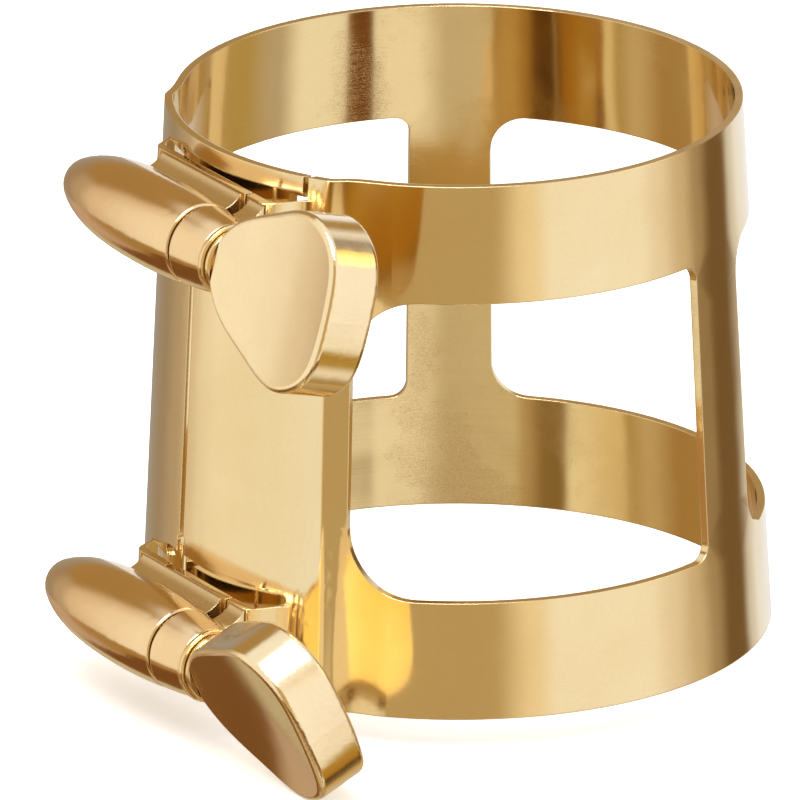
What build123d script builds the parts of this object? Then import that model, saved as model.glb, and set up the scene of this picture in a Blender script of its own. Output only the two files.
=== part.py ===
from build123d import *
import os
from math import asin, cos, degrees, hypot, radians, sin, sqrt

# Two-screw ligature for a saxophone mouthpiece, in millimetres.
# +Z is the band's axis and points to its narrow end, with z = 0 at the wide end's rim.
# The clamp faces -Y, and both thumbscrews lie along X with their heads at +X.
# Angles round the band are counted from the clamp's middle (-Y) towards +X.

# Band: one strip of sheet, bent to a cone.
band_height = 26.0
wide_radius = 15.0  # outside of the ring at z = 0
narrow_radius = 13.5  # outside of the ring at z = band_height
sheet = 0.4
ring_height = 5.7
edge_round = 0.12

# Clamp plate: the stretch between the rings that the screws pull together.
# Its crest is an arc about a line beside the band's axis, so its near edge stands prouder.
bottom_raise = 0.3  # the crest's middle stands this far proud of the rings, at z = 0
top_raise = 0.45  # and at z = band_height
bottom_shift = 0.38  # the arc's centre is this far towards +X, at z = 0
top_shift = 0.1
plate_half_angle = 31.5
ramp_half_angle = 45.0  # where the slope from the plate reaches the rings
plate_edge_angle = 37.0  # where the windows cut the plate's slope
step_angle = 3.0  # steep start of the slope at the plate's edge
step_share = 0.5  # part of the raise that is left after the steep start

# Windows and struts.
strut_angle = 120.3  # middle of each strut
strut_width_angle = 16.5
plate_corner = 3.3
strut_corner = 0.8
back_corner = 1.8

# The split is stepped: the far ends of the ears reach past the plate's own split.
plate_split_x = -0.8
plate_split_gap = 0.4
split_x = 4.35  # split of the ears and of the lugs
split_gap = 0.16
rim_split_x = 6.45  # split of the thin rim above the upper ear
rim_split_gap = 0.25
relief_width = 0.75  # notch where the plate's split meets an ear's slot
relief_length = 1.3

# Ears: parts of the rings pushed out flat, to seat the lugs.
ear_rise = 0.85  # outside of the ear above the rings
ear_far_x = -3.4
ear_near_x = 5.5
ear_bend = 1.4
lower_ear = (0.0, 4.9)
upper_ear = (20.4, 24.9)
lance_far_x = -2.4
lance_near_x = 6.6
lance_width = 0.6
fine_lance_width = 0.25
lip_reach = 1.0  # the sheet behind a slot reaches this far past the ear's edge
lip_lap = 0.3
lip_clearance = 0.05

# Screws.
lower_screw_z = 2.85
upper_screw_z = 22.8
thread_pitch = 0.45
thread_radius = 1.25
thread_depth = 0.25
bore_clearance = 0.05
shank_end_x = -3.6
bore_end_x = -5.6
shank_tip_chamfer = 0.3

# Lugs: each pair has the outline of one barrel, cut at the band's split.
lug_radius = 2.2
lug_widest_x = -0.4
lug_split_radius = 2.0
far_lug_tip_x = -7.2
far_lug_tip_radius = 1.3
near_lug_end_x = 6.7
near_lug_end_radius = 1.7
lug_gap = 0.02  # between the lug's widest line and its ear, filled by solder

# Solder fillets between lug and ear.
solder_half_width = 2.0
solder_top_half_width = 1.45
solder_height = 1.5
far_solder_x = (-3.2, 3.9)
near_solder_x = (4.7, 6.0)

# Washer, collar and head of each thumbscrew.
play = 0.05
washer_radius = 1.8
washer_thickness = 0.3
collar_radius = 1.65
collar_thickness = 0.3
stub_radius = 1.0
stub_length = 2.6
neck_radius = 1.35
neck_length = 0.9
head_length = 9.9
head_width = 8.6
head_thickness = 2.7
head_round = 0.3
upper_head_angle = 105.0  # turn of the head's blade, from outwards (-Y) towards +Z
lower_head_angle = 66.0


def ring_radius(z):
    """Outside radius of the rings at height z."""
    return wide_radius + (narrow_radius - wide_radius) * z / band_height


def polar(angle, radius):
    """Point at an angle from the clamp's middle."""
    return (radius * sin(radians(angle)), -radius * cos(radians(angle)))


def along(angle):
    """Direction of travel round the band at an angle."""
    return (cos(radians(angle)), sin(radians(angle)))


def ear_face(z):
    """Distance of the ears' outer face from the band's axis at height z."""
    return ring_radius(z) + ear_rise


def crest_arc(z, inset):
    """Centre and radius of the plate's crest at height z, moved in by inset."""
    share = z / band_height
    shift = bottom_shift + (top_shift - bottom_shift) * share
    proud = bottom_raise + (top_raise - bottom_raise) * share
    return shift, ring_radius(z) + proud - inset


def crest_point(angle, z, inset):
    """Point of the plate's crest."""
    shift, radius = crest_arc(z, inset)
    x, y = polar(angle, radius)
    return (x + shift, y)


def plate_outline(z, inset):
    """Edges of the plate's crest, from its far end to its near end."""
    return [ThreePointArc(*(crest_point(a, z, inset) for a in (-plate_half_angle, 0, plate_half_angle)))]


def ear_outline(z, inset):
    """The same, with the part that carries the lugs pushed out flat."""
    shift, radius = crest_arc(z, inset)
    face = ear_face(z) - inset
    far_angle = degrees(asin((ear_far_x - ear_bend - shift) / radius))
    near_angle = degrees(asin((ear_near_x + ear_bend - shift) / radius))
    far_stops = (-plate_half_angle, (far_angle - plate_half_angle) / 2, far_angle)
    near_stops = (near_angle, (near_angle + plate_half_angle) / 2, plate_half_angle)
    far = [crest_point(a, z, inset) for a in far_stops]
    near = [crest_point(a, z, inset) for a in near_stops]
    far_flat, near_flat = (ear_far_x, -face), (ear_near_x, -face)
    return [
        ThreePointArc(*far),
        Spline([far[2], far_flat], tangents=[along(far_angle), (1, 0)]),
        Line(far_flat, near_flat),
        Spline([near_flat, near[0]], tangents=[(1, 0), along(near_angle)]),
        ThreePointArc(*near),
    ]


def section(z, inset, with_ears):
    """Closed outline of the band at height z, moved in by inset."""
    ring = ring_radius(z) - inset
    crest = ear_outline(z, inset) if with_ears else plate_outline(z, inset)
    ramps = {}
    for side in (1, -1):
        edge = crest_point(side * plate_half_angle, z, inset)
        step = ring + (hypot(*edge) - ring) * step_share
        step_end = side * (plate_half_angle + step_angle)
        ramps[side] = Spline(
            [edge, polar(step_end, step), polar(side * ramp_half_angle, ring)],
            tangents=[
                [side * d for d in along(side * plate_half_angle)],
                [side * d for d in along(side * ramp_half_angle)],
            ],
        )
    hoop = ThreePointArc(*(polar(a, ring) for a in (ramp_half_angle, 180, -ramp_half_angle)))
    return Pos(0, 0, z) * make_face(crest + [ramps[1], hoop, ramps[-1]])


def band_slab(bottom, top, with_ears):
    """Stretch of the band between two heights."""
    outside = loft([section(bottom, 0, with_ears), section(top, 0, with_ears)], ruled=True)
    inside = loft([section(bottom, sheet, with_ears), section(top, sheet, with_ears)], ruled=True)
    return outside - inside


def window(start, end, start_corner, end_corner):
    """Cutter for a window between two angles, with its own corner radius at each end."""
    reach = wide_radius + 4
    span = end - start
    tall = band_height - 2 * ring_height
    opening = Plane.XZ * Pos(reach * 0.75, band_height / 2) * Rectangle(reach / 2, tall)
    wedge = revolve(opening, Axis.Z, span)
    near = 0.01
    if wedge.center().Y < 0:
        wedge = Rot(0, 0, span) * wedge
    corners = wedge.edges().filter_by(Axis.X).filter_by_position(Axis.Y, -near, near)
    wedge = fillet(corners, start_corner)
    wedge = Rot(0, 0, -span) * wedge
    corners = wedge.edges().filter_by(Axis.X).filter_by_position(Axis.Y, -near, near)
    wedge = fillet(corners, end_corner)
    return Rot(0, 0, end - 90) * wedge


def lance(middle_z, width):
    """Cutter for the slot that frees an ear from its neighbour."""
    middle_x = (lance_near_x + lance_far_x) / 2
    slot = Plane.XZ * Pos(middle_x, middle_z) * SlotOverall(lance_near_x - lance_far_x, width)
    return extrude(slot, wide_radius + 4)


def lip(start_x, end_x, bottom, top):
    """Sheet that closes a slot from behind: the plate's outline, set half a sheet further in."""
    outer, inner = sheet * 0.5, sheet * 1.5
    outside = loft([section(bottom, outer, False), section(top, outer, False)], ruled=True)
    inside = loft([section(bottom, inner, False), section(top, inner, False)], ruled=True)
    block = Box(end_x - start_x, wide_radius, top - bottom, align=(Align.MIN, Align.MAX, Align.MIN))
    return (outside - inside) & (Pos(start_x, -wide_radius / 3, bottom) * block)


def cut(middle_x, width, bottom, top):
    """Cutter for one stretch of the split."""
    block = Box(width, wide_radius, top - bottom, align=(Align.CENTER, Align.MAX, Align.MIN))
    return Pos(middle_x, -wide_radius / 3, bottom) * block


def relief(slot_z):
    """Cutter for the round-ended notch where the plate's split meets an ear's slot."""
    notch = Pos(plate_split_x, slot_z) * SlotOverall(2 * relief_length, relief_width, rotation=90)
    return extrude(Plane.XZ * notch, wide_radius + 4)


def make_band():
    """The whole band, as one piece of sheet."""
    band = band_slab(lower_ear[0], lower_ear[1], True)
    band += band_slab(lower_ear[1], upper_ear[0], False)
    band += band_slab(upper_ear[0], upper_ear[1], True)
    band += band_slab(upper_ear[1], band_height, False)
    near_strut = strut_angle - strut_width_angle / 2
    far_strut = strut_angle + strut_width_angle / 2
    band -= window(plate_edge_angle, near_strut, plate_corner, strut_corner)
    band -= window(far_strut, 360 - far_strut, back_corner, back_corner)
    band -= window(-near_strut, -plate_edge_angle, strut_corner, plate_corner)
    band -= lance(lower_ear[1] + lance_width / 2, lance_width)
    band -= lance(upper_ear[0] - lance_width / 2, lance_width)
    band -= lance(upper_ear[1] + fine_lance_width / 2, fine_lance_width)
    band -= cut(plate_split_x, plate_split_gap, lower_ear[1] + lance_width / 2, upper_ear[0] - lance_width / 2)
    band -= cut(split_x, split_gap, lower_ear[0] - 1, lower_ear[1] + lance_width / 2)
    band -= cut(split_x, split_gap, upper_ear[0] - lance_width / 2, upper_ear[1] + fine_lance_width / 2)
    band -= cut(rim_split_x, rim_split_gap, upper_ear[1] + fine_lance_width / 2, band_height + 1)
    band -= relief(lower_ear[1] + lance_width / 2)
    band -= relief(upper_ear[0] - lance_width / 2)
    lip_bottom = lower_ear[1] - lip_reach
    lip_top = lower_ear[1] + lance_width + lip_lap
    lower_lip = lip(lance_far_x - lip_lap, lance_near_x + lip_lap, lip_bottom, lip_top)
    lower_lip -= cut(plate_split_x, plate_split_gap, lip_bottom - 1, lip_top + 1)
    lip_bottom = upper_ear[1] - lip_reach
    lip_top = upper_ear[1] + fine_lance_width + lip_lap
    upper_lip = lip(lance_far_x - lip_lap, ear_near_x, lip_bottom, lip_top)
    lip_end = rim_split_x - rim_split_gap / 2
    upper_lip += lip(ear_near_x - lip_lap, lip_end, upper_ear[1] + lip_clearance, lip_top)
    return band + lower_lip + upper_lip


def screw_place(z):
    """Frame of a screw: x along the screw, y outwards, z up, on the screw's axis."""
    slope = (wide_radius - narrow_radius) / band_height
    distance = ear_face(z) + (lug_radius + lug_gap) * sqrt(1 + slope * slope)
    return Pos(0, -distance, z)


def turned(outline):
    """Solid turned about the X axis from an outline in the upper half of the XY plane."""
    return revolve(make_face(outline), Axis.X)


def make_far_lug():
    """Long blind barrel, tapped for the screw."""
    inner_x = split_x - split_gap / 2
    ball = far_lug_tip_x + far_lug_tip_radius
    lean = 65.0
    shoulder_x = ball - far_lug_tip_radius * cos(radians(lean))
    shoulder_y = far_lug_tip_radius * sin(radians(lean))
    middle = lean / 2
    round_x = ball - far_lug_tip_radius * cos(radians(middle))
    round_y = far_lug_tip_radius * sin(radians(middle))
    outline = [
        ThreePointArc((far_lug_tip_x, 0), (round_x, round_y), (shoulder_x, shoulder_y)),
        Spline(
            [(shoulder_x, shoulder_y), (lug_widest_x, lug_radius), (inner_x, lug_split_radius)],
            tangents=[(sin(radians(lean)), cos(radians(lean))), (1, -0.12)],
        ),
        Line((inner_x, lug_split_radius), (inner_x, 0)),
        Line((inner_x, 0), (far_lug_tip_x, 0)),
    ]
    bore_radius = thread_radius + bore_clearance
    depth = inner_x - bore_end_x
    bore = Pos(bore_end_x + depth / 2, 0, 0) * Rot(0, 90, 0) * Cylinder(bore_radius, depth)
    drill_point = Pos(bore_end_x - 0.3, 0, 0) * Rot(0, 90, 0) * Cone(0.4, bore_radius, 0.6)
    lug = turned(outline) - bore - drill_point
    mouth = lug.edges().filter_by_position(Axis.X, inner_x - 0.01, inner_x + 0.01)
    return fillet(mouth.sort_by(SortBy.LENGTH)[-1], edge_round)


def make_near_lug():
    """Short barrel with a plain through hole."""
    inner_x = split_x + split_gap / 2
    outline = [
        Line((inner_x, 0), (inner_x, lug_split_radius)),
        Spline(
            [(inner_x, lug_split_radius), (near_lug_end_x, near_lug_end_radius)],
            tangents=[(1, -0.12), (1, -0.22)],
        ),
        Line((near_lug_end_x, near_lug_end_radius), (near_lug_end_x, 0)),
        Line((near_lug_end_x, 0), (inner_x, 0)),
    ]
    bore = Rot(0, 90, 0) * Cylinder(thread_radius + bore_clearance, 4 * near_lug_end_x)
    lug = turned(outline) - bore
    rims = lug.edges().filter_by(GeomType.CIRCLE).sort_by(SortBy.LENGTH)[-2:]
    return fillet(rims, edge_round)


def make_solder(ends, z, lug):
    """Solder bed between a lug and its ear, in the band's frame."""
    place = screw_place(z)
    length = ends[1] - ends[0]
    slope = (wide_radius - narrow_radius) / band_height
    floor = lug_radius + lug_gap
    # The ear leans with the cone, so its face is nearer the screw at the bed's lower side.
    low = floor - slope * solder_half_width
    high = floor + slope * solder_half_width
    low_corner = (low, -solder_half_width)
    high_corner = (high, solder_half_width)
    top = floor - solder_height
    top_half, waist = solder_top_half_width, floor - 0.45
    outline = [
        Line(low_corner, high_corner),
        ThreePointArc(high_corner, (waist, top_half + 0.05), (top, top_half)),
        Line((top, top_half), (top, -top_half)),
        ThreePointArc((top, -top_half), (waist, -top_half - 0.05), low_corner),
    ]
    bed = Pos(ends[0], 0, 0) * extrude(Plane.YZ * make_face(outline), length)
    keep_out = Rot(0, 90, 0) * Cylinder(lug_split_radius * 0.8, 6 * ear_near_x)
    return place * (bed - lug - keep_out)


def make_washer():
    """Flat washer between the near lug and the screw's collar."""
    start = near_lug_end_x + play
    ring = Cylinder(washer_radius, washer_thickness) - Cylinder(thread_radius + bore_clearance, 4)
    ring = fillet(ring.edges().sort_by(SortBy.LENGTH)[-2:], 0.1)
    return Pos(start + washer_thickness / 2, 0, 0) * Rot(0, 90, 0) * ring


def collar_x():
    """Start of the collar along the screw."""
    return near_lug_end_x + 2 * play + washer_thickness


def make_shank():
    """Threaded stem with its collar, and the stub that the head is fixed on."""
    start, end = collar_x(), collar_x() + collar_thickness
    root = thread_radius - thread_depth
    plain_x = split_x + 1.0
    turns = int((plain_x - shank_end_x - shank_tip_chamfer) / thread_pitch)
    thread_start = plain_x - turns * thread_pitch
    points = [(shank_end_x, 0), (shank_end_x, root), (thread_start - thread_pitch / 4, root)]
    for turn in range(turns):
        valley = thread_start + turn * thread_pitch
        points.append((valley, root))
        points.append((valley + thread_pitch * 0.4, thread_radius - 0.02))
        points.append((valley + thread_pitch * 0.6, thread_radius - 0.02))
    points += [(plain_x, root), (plain_x, thread_radius - 0.02), (start, thread_radius - 0.02)]
    points += [(start, collar_radius), (end, collar_radius), (end, stub_radius)]
    points += [(end + stub_length, stub_radius), (end + stub_length, 0), (shank_end_x, 0)]
    shank = turned([Polyline(*points)])
    rims = shank.edges().filter_by(GeomType.CIRCLE).sort_by(SortBy.LENGTH)[-2:]
    return fillet(rims, 0.12)


def make_head():
    """Fan-shaped thumb plate with a round neck, fixed on the shank's stub."""
    start = collar_x() + collar_thickness
    fan_start = start + 0.1
    tip = start + head_length
    half = head_width / 2
    shares = [(0.39, 0.82), (0.68, 1.0), (0.9, 0.8)]
    bend = [(start + along * head_length, across * half) for along, across in shares]
    upper = Spline([(fan_start, neck_radius), *bend, (tip, 0)], tangents=[(0.75, 1), (0, -1)])
    lower = mirror(upper, Plane.XZ)
    back = Line((fan_start, -neck_radius), (fan_start, neck_radius))
    blade = extrude(make_face([upper, lower, back]), head_thickness / 2, both=True)
    rims = [e for e in blade.edges() if abs(e.center().Z) > 0.9 * head_thickness / 2]
    rims = [e for e in rims if e.center().X > fan_start + 0.05]
    blade = fillet(rims, head_round)
    neck = turned(
        [
            Line((start, 0), (start, neck_radius)),
            Spline(
                [(start, neck_radius), (start + neck_length, head_thickness / 2 - 0.1)],
                tangents=[(1, 0), (1, -1)],
            ),
            Line((start + neck_length, head_thickness / 2 - 0.1), (start + neck_length, 0)),
            Line((start + neck_length, 0), (start, 0)),
        ]
    )
    hole = Pos(start + stub_length / 2, 0, 0) * Rot(0, 90, 0) * Cylinder(stub_radius, stub_length)
    # The blade is drawn flat in XY, and stands up when it is turned to its own angle.
    return blade + neck - hole


def write(shape, node):
    """Export one node."""
    export_step(shape, f"parts/{node}.step")


os.makedirs("parts", exist_ok=True)
write(make_band(), "band")

far_lug, near_lug = make_far_lug(), make_near_lug()
washer, shank, head = make_washer(), make_shank(), make_head()
screws = {
    "upper": (upper_screw_z, upper_head_angle),
    "lower": (lower_screw_z, lower_head_angle),
}
for name, (height, angle) in screws.items():
    place = screw_place(height)
    write(place * far_lug, f"{name}_far_lug")
    write(place * near_lug, f"{name}_near_lug")
    write(make_solder(far_solder_x, height, far_lug), f"{name}_far_solder")
    write(make_solder(near_solder_x, height, near_lug), f"{name}_near_solder")
    write(place * washer, f"{name}_washer")
    write(place * shank, f"{name}_screw_shank")
    # A blade in the XY plane points outwards, so it is turned from -Y towards +Z.
    write(place * Rot(-angle, 0, 0) * head, f"{name}_thumb_head")
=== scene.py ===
import math

import bpy
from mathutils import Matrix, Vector


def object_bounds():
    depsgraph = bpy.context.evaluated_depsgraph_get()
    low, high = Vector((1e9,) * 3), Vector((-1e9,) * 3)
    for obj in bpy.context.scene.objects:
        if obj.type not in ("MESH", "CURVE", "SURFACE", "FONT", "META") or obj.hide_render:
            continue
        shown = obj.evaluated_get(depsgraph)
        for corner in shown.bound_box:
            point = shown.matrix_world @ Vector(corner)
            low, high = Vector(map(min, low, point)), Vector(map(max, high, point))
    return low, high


# A polished and lacquered brass ligature on a pale floor, in metres.
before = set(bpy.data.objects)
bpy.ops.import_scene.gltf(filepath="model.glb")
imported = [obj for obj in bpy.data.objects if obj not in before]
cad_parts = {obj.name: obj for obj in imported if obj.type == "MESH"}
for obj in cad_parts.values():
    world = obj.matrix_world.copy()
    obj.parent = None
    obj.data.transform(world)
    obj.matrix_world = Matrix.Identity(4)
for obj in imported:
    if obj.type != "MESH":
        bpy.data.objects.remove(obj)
cad_box = [list(corner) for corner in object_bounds()]
scene = bpy.context.scene
MM = 0.001

# Camera: long lens, at the photograph's direction and distance. Lens and sensor are in millimetres.
LENS, SENSOR = 845, 36
CAMERA_AZIMUTH = math.radians(58.0)
CAMERA_ELEVATION = math.radians(19.8)
CAMERA_DISTANCE = 894 * MM
AIM_HEIGHT = 10.6 * MM
AIM_LEFT = 2.75 * MM

# Heights of the two screws and middle of the thumb heads' blades along them, in millimetres.
LOWER_SCREW, UPPER_SCREW = 2.85, 22.8
BLADE_MIDDLE = 13.2

# Brass: worn-edge radius, reach of the painted crevice shade, and depths of the hairlines, waves and
# blade hollows.
EDGE_RADIUS = 0.08 * MM
CREVICE_REACH = 0.5 * MM
HAIRLINE_DEPTH = 0.004 * MM
WAVE_DEPTH = 0.02 * MM
HOLLOW_DEPTH = 0.018 * MM
# Colours of the specks, the worn edges and the brown painted shade in crevices.
SPECK, WORN, CREVICE_SHADE = (0.45, 0.26, 0.08), (0.96, 0.84, 0.6), (0.30, 0.15, 0.035)

# Light tent. Each level is a list of (share of a turn, colour or grey): 0 is behind the object, 0.25
# at its left as the camera sees it, and 0.5 at the camera. The outside of the band sees AROUND, the
# inside of its far wall sees SKIRT, and the lower thumb head and the streaks deep inside see DEPTHS.
CREAM, TAN, BROWN = (1.0, 0.88, 0.66), (0.57, 0.44, 0.24), (0.20, 0.12, 0.05)
EMBER, GOLDEN, OLIVE = (0.20, 0.085, 0.025), (0.42, 0.27, 0.10), (0.28, 0.18, 0.05)
WHITE, AMBER = (1.0, 1.0, 1.0), (1.0, 0.84, 0.06)
AROUND = [
    (0.0, (0.45, 0.40, 0.34)),
    (0.03, (0.38, 0.32, 0.25)),
    (0.09, (0.38, 0.29, 0.19)),
    (0.135, (0.52, 0.41, 0.28)),
    (0.165, (0.80, 0.68, 0.52)),
    (0.192, (0.98, 0.92, 0.80)),
    (0.215, (1.04, 1.0, 0.90)),
    (0.30, (1.0, 0.97, 0.88)),
    (0.36, 1.03),
    (0.40, CREAM),
    (0.44, TAN),
    (0.535, TAN),
    (0.578, CREAM),
    (0.605, 1.08),
    (0.71, 1.08),
    (0.74, (0.96, 0.89, 0.82)),
    (0.775, (0.72, 0.60, 0.44)),
    (0.806, (0.44, 0.33, 0.20)),
    (0.833, BROWN),
    (0.862, BROWN),
    (0.885, (0.75, 0.72, 0.68)),
    (0.91, 0.95),
    (0.985, 0.95),
]
SKIRT = [
    (0.0, (0.40, 0.27, 0.17)),
    (0.12, (0.60, 0.43, 0.30)),
    (0.16, (0.42, 0.27, 0.10)),
    (0.228, (0.42, 0.25, 0.08)),
    (0.278, (0.60, 0.46, 0.25)),
    (0.30, (0.50, 0.35, 0.14)),
    (0.312, (0.80, 0.64, 0.36)),
    (0.376, (0.94, 0.86, 0.64)),
    (0.385, (0.26, 0.16, 0.05)),
    (0.405, (0.28, 0.18, 0.06)),
    (0.425, (0.52, 0.38, 0.19)),
    (0.44, (0.70, 0.60, 0.40)),
    (0.51, (0.66, 0.57, 0.40)),
    (0.55, (1.0, 0.95, 0.82)),
    (0.69, (1.0, 0.97, 0.88)),
    (0.73, (0.55, 0.46, 0.34)),
    (0.786, (0.50, 0.36, 0.12)),
    (0.847, (0.55, 0.38, 0.17)),
    (1.0, (0.34, 0.23, 0.13)),
]
DEPTHS = [
    (0.0, (0.62, 0.50, 0.30)),
    (0.07, (0.60, 0.50, 0.30)),
    (0.09, EMBER),
    (0.245, EMBER),
    (0.28, (0.48, 0.33, 0.13)),
    (0.34, (0.40, 0.26, 0.09)),
    (0.40, EMBER),
    (0.62, (0.24, 0.11, 0.03)),
    (0.69, (0.50, 0.32, 0.05)),
    (0.742, (0.45, 0.23, 0.02)),
    (0.764, (0.07, 0.025, 0.01)),
    (0.812, (0.08, 0.03, 0.01)),
    (0.836, (0.50, 0.34, 0.12)),
    (0.87, (0.66, 0.52, 0.28)),
    (0.94, (0.64, 0.52, 0.31)),
]

# Softboxes: name, azimuth from the camera's, elevation, distance and side in metres, watts, tint.
SOFTBOXES = [
    ("softbox_top", -0.4, math.radians(70), 0.5, 0.35, 2.0, WHITE),
    ("softbox_back", math.radians(90), math.radians(28), 0.6, 0.25, 0.15, AMBER),
]
FLOOR_HALF = 2.0


def direction(azimuth, elevation):
    """Unit vector towards an azimuth and elevation, counted as the camera's are."""
    flat = math.cos(elevation)
    return Vector((math.sin(azimuth) * flat, -math.cos(azimuth) * flat, math.sin(elevation)))


def add_camera():
    """Camera aimed a little left of the band's axis."""
    data = bpy.data.cameras.new("camera")
    data.sensor_width = SENSOR
    data.lens = LENS
    data.clip_start = 0.05
    data.clip_end = 20
    camera = bpy.data.objects.new("camera", data)
    scene.collection.objects.link(camera)
    centre = Vector((0, 0, AIM_HEIGHT))
    camera.location = centre + direction(CAMERA_AZIMUTH, CAMERA_ELEVATION) * CAMERA_DISTANCE
    right = Vector((math.cos(CAMERA_AZIMUTH), math.sin(CAMERA_AZIMUTH), 0))
    look = centre - right * AIM_LEFT - camera.location
    camera.rotation_mode = "QUATERNION"
    camera.rotation_quaternion = look.to_track_quat("-Z", "Y")
    scene.camera = camera


class Graph:
    """Short way to build a node tree."""

    def __init__(self, tree):
        self.tree = tree
        tree.nodes.clear()

    def add(self, kind, inputs=None, **settings):
        """Adds a node, sets its properties, and fills or links its inputs by name or index."""
        node = self.tree.nodes.new(kind)
        for name, value in settings.items():
            setattr(node, name, value)
        for key, value in (inputs or {}).items():
            if isinstance(value, bpy.types.NodeSocket):
                self.tree.links.new(value, node.inputs[key])
            else:
                node.inputs[key].default_value = value
        return node

    def math(self, operation, a, b=0.0, c=0.0, clamp=False):
        """One Math node's result."""
        node = self.add("ShaderNodeMath", {0: a, 1: b, 2: c}, operation=operation, use_clamp=clamp)
        return node.outputs[0]

    def ramp(self, value, stops):
        """Smooth colour ramp with (position, colour or grey) stops."""
        node = self.add("ShaderNodeValToRGB", {0: value})
        ramp = node.color_ramp
        ramp.interpolation = "EASE"
        while len(ramp.elements) < len(stops):
            ramp.elements.new(0.5)
        for element, (position, colour) in zip(ramp.elements, stops):
            element.position = position
            grey = isinstance(colour, (int, float))
            element.color = (colour, colour, colour, 1) if grey else (*colour, 1)
        return node.outputs["Color"]

    def mix(self, factor, a, b):
        """Colour mix."""
        node = self.add("ShaderNodeMix", data_type="RGBA", clamp_factor=True)
        for index, value in ((0, factor), (6, a), (7, b)):
            if isinstance(value, bpy.types.NodeSocket):
                self.tree.links.new(value, node.inputs[index])
            elif index:
                node.inputs[index].default_value = (*value, 1)
            else:
                node.inputs[index].default_value = value
        return node.outputs[2]

    def noise(self, vector, scale, detail, roughness=0.5):
        """Noise texture's grey."""
        settings = {"Vector": vector, "Scale": scale, "Detail": detail, "Roughness": roughness}
        return self.add("ShaderNodeTexNoise", settings).outputs["Fac"]

    def bump(self, height, distance, normal, strength=1.0):
        """Normal bent by a height map."""
        settings = {"Strength": strength, "Distance": distance, "Height": height, "Normal": normal}
        return self.add("ShaderNodeBump", settings).outputs[0]

    def vector(self, operation, a, b, output=0):
        """One Vector Math node's result."""
        return self.add("ShaderNodeVectorMath", {0: a, 1: b}, operation=operation).outputs[output]

    def finish(self, inputs):
        """Principled shader with these inputs, as the material's surface."""
        shader = self.add("ShaderNodeBsdfPrincipled", inputs)
        self.add("ShaderNodeOutputMaterial", {"Surface": shader.outputs[0]})


def add_world():
    """White light tent with a warm gap at the camera, a dark gap at the right, and tinted depths."""
    world = bpy.data.worlds.new("light_tent")
    world.use_nodes = True
    scene.world = world
    graph = Graph(world.node_tree)
    where = graph.add("ShaderNodeTexCoord").outputs["Generated"]
    x, y, z = graph.add("ShaderNodeSeparateXYZ", {0: where}).outputs
    azimuth = graph.math("ARCTAN2", x, graph.math("MULTIPLY", y, -1.0))
    turn = graph.math("DIVIDE", graph.math("SUBTRACT", azimuth, CAMERA_AZIMUTH), 2 * math.pi)
    turn = graph.math("FRACT", graph.math("ADD", turn, 0.5))
    # Height in the tent: 0 straight down, 0.5 level, 1 straight up.
    above = graph.math("MULTIPLY_ADD", z, 0.5, 0.5)

    high = graph.ramp(above, [(0.0, 0.0), (0.77, 0.0), (0.88, 1.0)])
    colour = graph.mix(high, graph.ramp(turn, AROUND), WHITE)
    # Golden brown high at the back, which the tops of the lugs see.
    behind = graph.ramp(turn, [(0.0, 1.0), (0.13, 1.0), (0.17, 0.0), (0.90, 0.0), (0.94, 1.0)])
    raised = graph.ramp(above, [(0.60, 0.0), (0.68, 1.0), (0.83, 1.0), (0.90, 0.0)])
    colour = graph.mix(graph.math("MULTIPLY", behind, raised), colour, GOLDEN)
    lower = graph.ramp(above, [(0.309, 1.0), (0.335, 0.0)])
    colour = graph.mix(lower, colour, graph.ramp(turn, SKIRT))
    # Narrow dark gap, which the bottom ring's inside sees at the left.
    gap = graph.ramp(turn, [(0.588, 0.0), (0.60, 1.0), (0.63, 1.0), (0.645, 0.0)])
    under = graph.ramp(above, [(0.274, 1.0), (0.281, 0.0)])
    colour = graph.mix(graph.math("MULTIPLY", gap, under), colour, OLIVE)
    # The depths start lower at the back left, so their edge crosses the lower thumb head.
    back_left = graph.ramp(turn, [(0.0, 0.0), (0.07, 0.0), (0.085, 1.0), (0.15, 1.0), (0.19, 0.0)])
    dip = graph.math("MULTIPLY_ADD", back_left, 0.049, above)
    low = graph.ramp(dip, [(0.10, 0.2), (0.18, 0.95), (0.238, 1.0), (0.256, 1.0), (0.270, 0.0)])
    colour = graph.mix(low, colour, graph.ramp(turn, DEPTHS))
    # Seen directly, the backdrop is plain white paper: the tent shows only in reflections.
    seen = graph.add("ShaderNodeLightPath").outputs["Is Camera Ray"]
    colour = graph.mix(seen, colour, WHITE)
    back = graph.add("ShaderNodeBackground", {"Color": colour, "Strength": 1.0})
    graph.add("ShaderNodeOutputWorld", {"Surface": back.outputs[0]})


def add_softbox(name, aside, elevation, distance, size, power, colour):
    """Square area light that faces the object."""
    data = bpy.data.lights.new(name, "AREA")
    data.size = size
    data.energy = power
    data.color = colour
    light = bpy.data.objects.new(name, data)
    scene.collection.objects.link(light)
    centre = Vector((0, 0, AIM_HEIGHT))
    way = direction(CAMERA_AZIMUTH + aside, elevation)
    light.location = centre + way * distance
    light.rotation_mode = "QUATERNION"
    light.rotation_quaternion = (-way).to_track_quat("-Z", "Y")


def new_material(name):
    """Empty material and the graph of its nodes."""
    material = bpy.data.materials.new(name)
    material.use_nodes = True
    return material, Graph(material.node_tree)


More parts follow.
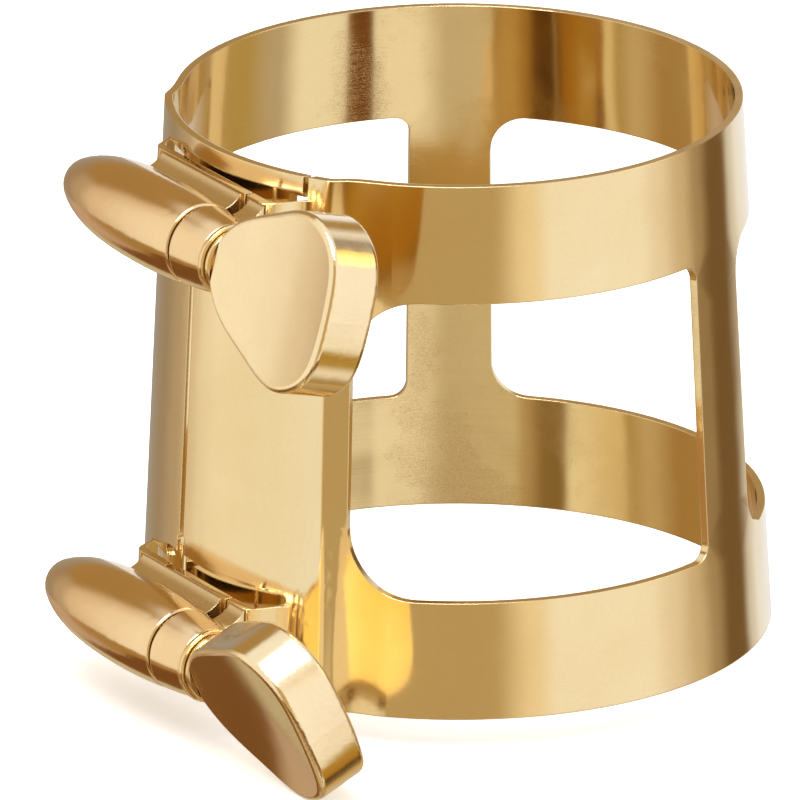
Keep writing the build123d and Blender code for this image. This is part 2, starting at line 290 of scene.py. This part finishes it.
def add_floor():
    """Plain pale floor at the object's lowest point."""
    height = cad_box[0][2]
    signs = ((-1, -1), (1, -1), (1, 1), (-1, 1))
    corners = [(a * FLOOR_HALF, b * FLOOR_HALF, height) for a, b in signs]
    mesh = bpy.data.meshes.new("floor")
    mesh.from_pydata(corners, [], [(0, 1, 2, 3)])
    floor = bpy.data.objects.new("floor", mesh)
    scene.collection.objects.link(floor)
    floor.visible_glossy = False
    material, graph = new_material("floor_paper")
    graph.finish(
        {
            "Base Color": (0.93, 0.93, 0.92, 1),
            "Roughness": 0.9,
            "Specular IOR Level": 0.1,
            "Emission Color": (1.0, 0.995, 0.985, 1),
            "Emission Strength": 0.45,
        }
    )
    mesh.materials.append(material)


def grain_coordinates(graph, mm, grain):
    """Coordinates stretched along the marks: round the band, round a lathe's axis, or lengthwise."""
    along, stretch = mm, (1.2, 7.0, 7.0)
    if grain == "turned":
        stretch = (16.0, 0.4, 0.4)
    if grain == "round":
        x, y, z = graph.add("ShaderNodeSeparateXYZ", {0: mm}).outputs
        angle = graph.math("ARCTAN2", y, x)
        arc = graph.math("MULTIPLY", angle, 3.0)
        along = graph.add("ShaderNodeCombineXYZ", {0: arc, 1: 0.0, 2: z}).outputs[0]
        stretch = (0.6, 1.0, 14.0)
    return graph.add("ShaderNodeMapping", {"Vector": along, "Scale": stretch}).outputs[0]


def scratch_lines(graph, mm, clouds):
    """Two crossed sets of thin, far-apart scratches, each kept to some of the clouds."""
    found = None
    for tilt, rate, least in ((0.6, 9.0, 0.53), (-0.9, 12.6, 0.56)):
        turned = (tilt, tilt * 2, tilt)
        laid = graph.add(
            "ShaderNodeMapping", {"Vector": mm, "Rotation": turned, "Scale": (rate, 0.5, rate)}
        ).outputs[0]
        middle = graph.math("ABSOLUTE", graph.math("SUBTRACT", graph.noise(laid, 1.0, 1.0), 0.5))
        thin = graph.math("SUBTRACT", 1.0, graph.math("MULTIPLY", middle, 60.0), clamp=True)
        few = graph.math("MULTIPLY", thin, graph.math("GREATER_THAN", clouds, least))
        found = few if found is None else graph.math("MAXIMUM", found, few)
    return found


def blade_hollow(graph, place):
    """Height that hollows a thumb head's two faces a little, about the middle of its blade."""
    x, y, z = graph.add("ShaderNodeSeparateXYZ", {0: place}).outputs
    over = graph.math("SUBTRACT", x, BLADE_MIDDLE)
    apart = (UPPER_SCREW - LOWER_SCREW) / 2
    off_axis = graph.math("PINGPONG", graph.math("SUBTRACT", z, LOWER_SCREW), apart)
    return graph.math("MULTIPLY_ADD", over, over, graph.math("MULTIPLY", off_axis, off_axis))


def brass(name, light, deep, roughness, grain, seed):
    """Polished, lacquered brass with a grain: round (band), turned, buffed (heads) or smooth."""
    material, graph = new_material(name)
    where = graph.add("ShaderNodeTexCoord").outputs["Object"]
    place = graph.vector("MULTIPLY", where, (1000, 1000, 1000))
    mm = graph.vector("ADD", place, (seed, seed * 2, seed * 3))
    hairlines = graph.noise(grain_coordinates(graph, mm, grain), 1.0, 4.0, 0.65)
    clouds = graph.noise(mm, 0.22, 3.0)
    specks = graph.noise(mm, 5.0, 2.0, 0.6)
    scratches = scratch_lines(graph, mm, clouds)

    # Lacquer tone drifts and gets thin and pale at worn edges. A brown painted shade darkens spots
    # where the surface is closed in.
    tone = graph.math("MULTIPLY_ADD", clouds, 1.6, -0.3, clamp=True)
    colour = graph.mix(tone, light, deep)
    colour = graph.mix(graph.math("MULTIPLY", specks, 0.10), colour, SPECK)
    rounded = graph.add("ShaderNodeBevel", {"Radius": EDGE_RADIUS}, samples=4).outputs[0]
    flat = graph.add("ShaderNodeNewGeometry").outputs["Normal"]
    agree = graph.vector("DOT_PRODUCT", rounded, flat, output="Value")
    edge = graph.math("MULTIPLY", graph.math("SUBTRACT", 1.0, agree), 6.0, clamp=True)
    worn = graph.math("MULTIPLY_ADD", specks, 1.8, -0.4, clamp=True)
    edge = graph.math("MULTIPLY", edge, worn)
    colour = graph.mix(graph.math("MULTIPLY", edge, 0.5), colour, WORN)
    # Painted shade: ambient occlusion mixes brown into closed-in spots, which also get rougher.
    open_air = graph.add("ShaderNodeAmbientOcclusion", {"Distance": CREVICE_REACH}, samples=6)
    crevice_shade_mask = graph.math("MULTIPLY_ADD", open_air.outputs["AO"], -2.2, 1.1, clamp=True)
    colour = graph.mix(graph.math("MULTIPLY", crevice_shade_mask, 0.75), colour, CREVICE_SHADE)

    rough = graph.math("MULTIPLY_ADD", graph.math("SUBTRACT", hairlines, 0.5), 0.10, roughness)
    rough = graph.math("MULTIPLY_ADD", clouds, 0.05, rough)
    rough = graph.math("MULTIPLY_ADD", scratches, 0.12, rough)
    rough = graph.math("MULTIPLY_ADD", crevice_shade_mask, 0.25, rough, clamp=True)

    fine = graph.math("MULTIPLY_ADD", scratches, -0.25, graph.math("MULTIPLY", hairlines, 0.3))
    normal = graph.bump(fine, HAIRLINE_DEPTH, rounded, strength=0.25)
    normal = graph.bump(graph.noise(mm, 0.3, 1.0), WAVE_DEPTH, normal)
    if grain == "buffed":
        normal = graph.bump(blade_hollow(graph, place), HOLLOW_DEPTH, normal)
    graph.finish(
        {
            "Base Color": colour,
            "Metallic": 1.0,
            "Roughness": rough,
            "Normal": normal,
            "Coat Weight": 0.6,
            "Coat Roughness": 0.04,
            "Coat IOR": 1.48,
        }
    )
    return material


# Each slot's brass: slot, rest of the material's name, light and deep tones, roughness, grain, seed.
FINISHES = [
    ("band_brass", "polished", (0.87, 0.70, 0.41), (0.83, 0.64, 0.34), 0.07, "round", 0.0),
    ("lug_brass", "turned", (0.93, 0.70, 0.42), (0.87, 0.61, 0.32), 0.10, "turned", 3.1),
    ("solder", "smooth", (0.86, 0.69, 0.42), (0.76, 0.56, 0.28), 0.22, "smooth", 5.7),
    ("washer_brass", "polished", (0.92, 0.73, 0.40), (0.86, 0.64, 0.32), 0.09, "turned", 7.3),
    ("screw_brass", "turned", (0.90, 0.68, 0.36), (0.82, 0.58, 0.27), 0.11, "turned", 9.9),
    # The heads' brass is lighter than the other parts': a painted highlight that brightens their
    # faces.
    ("head_brass", "buffed", (0.97, 0.81, 0.51), (0.93, 0.73, 0.46), 0.09, "buffed", 12.4),
]
materials = {slot: brass(f"{slot}_{kind}", *settings) for slot, kind, *settings in FINISHES}

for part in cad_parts.values():
    slot_name = part.material_slots[0].material.name.split(".")[0]
    part.material_slots[0].material = materials[slot_name]

add_camera()
add_world()
add_floor()
for softbox in SOFTBOXES:
    add_softbox(*softbox)
scene.view_settings.view_transform = "Standard"
